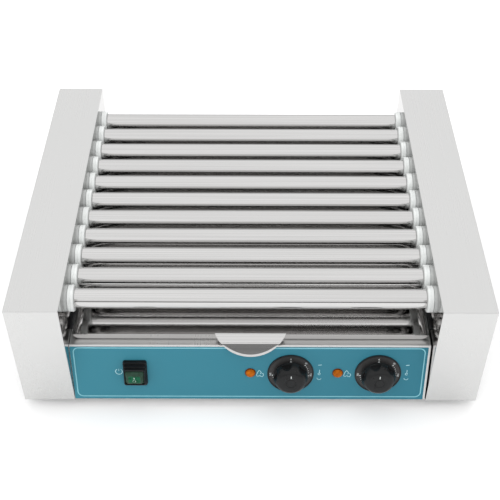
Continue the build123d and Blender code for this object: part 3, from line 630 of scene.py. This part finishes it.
def thermometer_icon(builder, x, up):
    """A tick, a stem with a bulb, and a curve under them."""
    ribbon(builder, [(x - 1.6 * MM, up + 12.4 * MM), (x + 2.6 * MM, up + 12.8 * MM)], 0.9 * MM, PRINT_OUT)
    ribbon(builder, [(x + 0.4 * MM, up + 5.0 * MM), (x + 0.2 * MM, up + 0.2 * MM)], 0.7 * MM, PRINT_OUT)
    ribbon(builder, arc((x, up - 1.6 * MM), 1.5 * MM, 0, 330, 14), 0.6 * MM, PRINT_OUT)
    ribbon(builder, arc((x + 0.2 * MM, up - 8.0 * MM), 2.7 * MM, 175, 340, 12), 0.6 * MM, PRINT_OUT)


def make_label_print():
    """The pale outline and the icons on the label."""
    outline = rounded_rectangle(*OUTLINE, OUTLINE_CORNER)
    add_piece(
        "label_outline", lambda b: ribbon(b, outline, OUTLINE_WIDTH, PRINT_OUT, closed=True),
        PRINT_PALE, "body", smooth=0,
    )

    def icons(builder):
        switch_x, switch_up = panel_place(node_centre("switch_housing"))
        power_icon(builder, switch_x - 20.7 * MM, switch_up)
        for body in KNOBS:
            x, up = panel_place(PLACES[body])
            heat_icon(builder, x - 38.4 * MM, up - 0.6 * MM)
            thermometer_icon(builder, x + 36.2 * MM, up + 0.5 * MM)

    add_piece("label_icons", icons, PRINT_ICON, "body", smooth=0)


# ---------------------------------------------------------------- lamps

LENS_R = 6.8 * MM
FACETS = 14


def lens_profile():
    """(radius, out) points of a lens: a short rim, then a low dome."""
    rim = [(0.87 * LENS_R, LABEL_FACE), (0.87 * LENS_R, LABEL_FACE + 1.6 * MM)]
    dome = [(0.84 * LENS_R, 2.5 * MM), (0.74 * LENS_R, 3.6 * MM), (0.58 * LENS_R, 4.35 * MM),
            (0.30 * LENS_R, 4.75 * MM), (0.06 * LENS_R, 4.88 * MM)]
    return rim + dome


def make_lamps():
    """Amber lenses cut in facets, each ring of facets turned by half a facet, in rims of darker amber painted as
    shade round each lens's edge.
    """
    low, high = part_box("pilot_lamp_lenses")
    up = panel_place((low + high) / 2)[1]
    places = [(low.x + LENS_R, up), (high.x - LENS_R, up)]

    def build(builder):
        for place in places:
            rows = []
            for ring, (radius, out) in enumerate(lens_profile()):
                turned = 0.5 * (ring % 2) if ring > 1 else 0
                points = panel_ring(place, radius, out, FACETS, turned)
                rows.append([builder.verts.new(point) for point in points])
            for ring in range(len(rows) - 1):
                facet_band(builder, rows[ring], rows[ring + 1], ring)
            builder.faces.new(rows[0])
            builder.faces.new(rows[-1])

    def rims(builder):
        edge, face = LENS_R + 0.02 * MM, LENS_R - 1.1 * MM
        section = ((face, 0.4), (edge, 0.4), (edge, 1.1), (edge - 0.4 * MM, 1.6), (face, 1.6))
        for place in places:
            rings = [panel_ring(place, radius, out * MM, 48) for radius, out in section]
            skin(builder, rings, closed_along=True)

    add_piece("pilot_lamp_rims", rims, RIM_AMBER_SHADE, "body")
    add_piece(
        "pilot_lamp_facets", build, MATERIALS["lamp_amber"], "body",
        ["pilot_lamp_lenses"], smooth=0,
    )


def facet_band(builder, lower, upper, ring):
    """Faces between two rings: plain sides at the rim, and triangles above it."""
    count = len(lower)
    for i in range(count):
        k = (i + 1) % count
        if ring == 0:
            builder.faces.new((lower[i], lower[k], upper[k], upper[i]))
        elif ring % 2:
            builder.faces.new((lower[i], lower[k], upper[i]))
            builder.faces.new((lower[k], upper[k], upper[i]))
        else:
            builder.faces.new((lower[i], lower[k], upper[k]))
            builder.faces.new((lower[i], upper[k], upper[i]))


# ---------------------------------------------------------------- switch rocker

SWITCH_X = node_centre("switch_rocker").x
SWITCH_UP = 45.5 * MM
ROCKER_PIVOT_OUT = 8.0 * MM
ROCKER_REST = math.radians(6)
ROCKER_STEPS = ((1.0, 11.7, 9.3, 1.6), (11.2, 11.7, 9.3, 1.8), (13.6, 10.2, 8.3, 2.2), (15.0, 8.4, 7.0, 2.4))
ROCKER_WINDOW = (7.4, 5.6, 1.8)


def on_rocker(x, y, out):
    """A point by its place on the rocker at rest, with its lower end pressed in."""
    turn, rise = ROCKER_REST, out - ROCKER_PIVOT_OUT
    up = y * math.cos(turn) - rise * math.sin(turn)
    reach = ROCKER_PIVOT_OUT + y * math.sin(turn) + rise * math.cos(turn)
    return on_panel(SWITCH_X + x, SWITCH_UP + up, reach)


def rocker_stack(builder, steps):
    """A closed block through rounded rectangles: (out, half width, half height, corner)."""
    rings = []
    for out, half_width, half_height, corner in steps:
        outline = rounded_rectangle(-half_width, half_width, -half_height, half_height, corner, 6)
        rings.append([on_rocker(x * MM, y * MM, out * MM) for x, y in outline])
    capped(builder, rings)


def make_rocker():
    """A clear skin over a green face with the usual I and O."""
    steps = [ROCKER_STEPS[0]]
    for before, after in zip(ROCKER_STEPS, ROCKER_STEPS[1:]):
        for part in (0.25, 0.5, 0.75, 1.0):
            steps.append(tuple(a + (b - a) * part for a, b in zip(before, after)))
    out, half_width, half_height, corner = ROCKER_STEPS[-1]
    steps[-1] = (out - 0.25, half_width, half_height, corner)
    steps.append((out - 0.06, half_width - 0.35, half_height - 0.35, corner - 0.3))
    add_piece(
        "switch_rocker_skin", lambda b: rocker_stack(b, steps), SKIN_GREEN, "rocker",
        ["switch_rocker"], smooth=50,
    )
    wide, tall, corner = ROCKER_WINDOW
    face = [(out - 0.5, wide, tall, corner), (out - 0.02, wide, tall, corner),
            (out, wide - 0.3, tall - 0.3, corner - 0.2)]
    add_piece(
        "switch_rocker_face", lambda b: rocker_stack(b, face), MATERIALS["rocker_green"],
        "rocker", smooth=50,
    )

    def marks(builder):
        rocker_line(builder, [(0, 1.0), (0, 3.8)], 0.9)
        rocker_line(builder, arc((0, -2.7), 1.9, 0, 360, 20)[:-1], 0.6, closed=True)

    add_piece("switch_rocker_marks", marks, PRINT_WHITE, "rocker", smooth=0)


def rocker_line(builder, points, width, closed=False):
    """A raised line on the rocker's face, through (x, y) points in millimetres."""
    face = ROCKER_STEPS[-1][0]
    drawn_line(
        builder, points, width, face - 0.05, face, closed,
        lambda x, y, out: on_rocker(x * MM, y * MM, out * MM),
    )


# ---------------------------------------------------------------- tray handle

HANDLE_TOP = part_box("tray_handle")[1]
HANDLE_HALF_WIDTH = 44.2 * MM
HANDLE_DEPTH = 30.6 * MM
HANDLE_R = (HANDLE_HALF_WIDTH**2 + HANDLE_DEPTH**2) / (2 * HANDLE_DEPTH)
HANDLE_FLAT = 13.1 * MM
HANDLE_TILT = math.radians(18)
HANDLE_SLOPE = math.radians(63)
HANDLE_SHEET = 1.2 * MM
FOLD_R = 2.2 * MM
RIM = 2.7 * MM
RIM_LIFT = 1.2 * MM
CREASE = 0.25 * MM
CREASE_WIDTH = 0.4 * MM


def handle_section(distance):
    """(forward, down, slope) on the outer face at a distance from the lip."""
    bend = FOLD_R * (HANDLE_SLOPE - HANDLE_TILT)
    start = HANDLE_FLAT - bend / 2
    forward, down, slope = 0.0, 0.0, HANDLE_TILT
    run = min(distance, start)
    forward += run * math.cos(HANDLE_TILT)
    down += run * math.sin(HANDLE_TILT)
    run = max(0.0, min(distance - start, bend))
    slope += run / FOLD_R
    forward += FOLD_R * (math.sin(slope) - math.sin(HANDLE_TILT))
    down += FOLD_R * (math.cos(HANDLE_TILT) - math.cos(slope))
    run = max(0.0, distance - start - bend)
    return forward + run * math.cos(slope), down + run * math.sin(slope), slope


def handle_point(across, distance, inside):
    """A point of the handle; its rim turns out, more towards the bottom."""
    forward, down, slope = handle_section(distance)
    centre = HANDLE_R - HANDLE_DEPTH
    to_edge = HANDLE_R - math.hypot(across, distance + centre)
    below = max(0.0, distance - HANDLE_FLAT - FOLD_R) / (HANDLE_DEPTH - HANDLE_FLAT - FOLD_R)
    lift = RIM_LIFT * max(0.0, 1 - to_edge / RIM) ** 2 * min(1.0, 1.6 * below)
    past_crease = (distance - HANDLE_FLAT + 1.2 * MM) / CREASE_WIDTH
    lift -= CREASE * math.exp(-past_crease**2)
    out = lift - (HANDLE_SHEET if inside else 0.0)
    rear, top = HANDLE_TOP.y, HANDLE_TOP.z
    return Vector((across, rear - forward - out * math.sin(slope), top - down + out * math.cos(slope)))


def make_handle():
    """The half-moon handle: a tilted flat, a soft fold, and a turned-out rim along its bottom."""
    rows_along, columns = 120, 72
    centre = HANDLE_R - HANDLE_DEPTH

    def build(builder):
        faces = []
        for inside in (False, True):
            rows = []
            for i in range(rows_along + 1):
                distance = HANDLE_DEPTH * (1 - (1 - i / rows_along) ** 1.5)
                distance = min(distance, HANDLE_DEPTH - 0.02 * MM)
                half = math.sqrt(HANDLE_R**2 - (distance + centre) ** 2)
                places = [math.sin(math.pi / 2 * (2 * j / columns - 1)) for j in range(columns + 1)]
                rows.append([handle_point(half * place, distance, inside) for place in places])
            faces.append(skin(builder, rows, closed_around=False))
        outer, inner = faces
        border = [outer[0], [row[-1] for row in outer], outer[-1][::-1], [row[0] for row in outer][::-1]]
        border_in = [inner[0], [row[-1] for row in inner], inner[-1][::-1], [row[0] for row in inner][::-1]]
        for side, side_in in zip(border, border_in):
            for i in range(len(side) - 1):
                builder.faces.new((side[i], side[i + 1], side_in[i + 1], side_in[i]))
        tab(builder)

    add_piece(
        "tray_handle_formed", build, MATERIALS["stainless_polished"], "tray",
        ["tray_handle"], smooth=40,
    )


def tab(builder):
    """The riveted tab that lies on the tray's lip under the handle."""
    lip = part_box("drip_tray")
    half, drop, corner = 26 * MM, 7.5 * MM, 2 * MM
    outline = rounded_rectangle(-half, half, lip[1].z - drop, lip[1].z, corner, 6)
    capped(builder, [[Vector((x, lip[0].y - depth, z)) for x, z in outline] for depth in (0.0, HANDLE_SHEET)])


# ---------------------------------------------------------------- floor, light and camera

def make_floor():
    """A wide pale floor that the feet stand on."""
    bpy.ops.mesh.primitive_plane_add(size=30.0, location=(0, 0, 0))
    floor = bpy.context.object
    floor.name = "floor"
    material, nodes, links, shader = new_material("floor")
    shader.inputs["Base Color"].default_value = (0.96, 0.96, 0.96, 1)
    shader.inputs["Roughness"].default_value = 0.9
    shader.inputs["Specular IOR Level"].default_value = 0.1
    floor.data.materials.append(material)


def soft_light(name, place, size, energy):
    """A large soft light that no polished part mirrors."""
    data = bpy.data.lights.new(name, "AREA")
    data.shape = "RECTANGLE"
    data.size, data.size_y = size
    data.energy = energy
    light = bpy.data.objects.new(name, data)
    light.location = place
    light.rotation_euler = (Vector((0, 0, 0)) - light.location).to_track_quat("-Z", "Y").to_euler()
    light.visible_glossy = False
    bpy.context.scene.collection.objects.link(light)


def make_light():
    """A white studio dome with a dim band above the horizon, and soft lights in front and above."""
    world = bpy.data.worlds.new("studio")
    world.use_nodes = True
    nodes, links = world.node_tree.nodes, world.node_tree.links
    background = nodes["Background"]
    height = along(nodes, links, "Z", -0.1, 0.9, "Generated")
    tone = nodes.new("ShaderNodeValToRGB")
    stops = ((0.0, 1.0), (0.095, 0.97), (0.10, 0.24), (0.25, 0.24), (0.34, 0.92), (0.60, 1.0))
    for _ in stops[2:]:
        tone.color_ramp.elements.new(0.5)
    for element, (place, value) in zip(tone.color_ramp.elements, stops):
        element.position = place
        element.color = (value, value, value, 1)
    links.new(height, tone.inputs["Fac"])
    links.new(tone.outputs["Color"], background.inputs["Color"])
    background.inputs["Strength"].default_value = 1.16
    bpy.context.scene.world = world
    soft_light("front_fill", (-0.3, -1.6, 1.7), (1.6, 1.2), 10.0)
    soft_light("top_fill", (0.2, 0.5, 2.2), (2.0, 2.0), 8.0)


def make_camera():
    """A short telephoto lens looking down at the front."""
    data = bpy.data.cameras.new("camera")
    data.lens = 68.2
    data.sensor_width = 36.0
    camera = bpy.data.objects.new("camera", data)
    camera.location = (0.0004, -0.9753, 0.9954)
    camera.rotation_euler = [math.radians(angle) for angle in (46.24, -0.07, 0.15)]
    bpy.context.scene.collection.objects.link(camera)
    bpy.context.scene.camera = camera


dress_cad_nodes()
for roller_body in ROLLERS:
    make_roller(roller_body)
make_bushings(-1, "left_bushings")
make_bushings(1, "right_bushings")
for knob_body in KNOBS:
    make_knob(knob_body)
    make_dial(knob_body)
make_label_print()
make_lamps()
make_rocker()
make_handle()
make_camera()
make_floor()
make_light()
bpy.context.scene.view_settings.view_transform = "Standard"
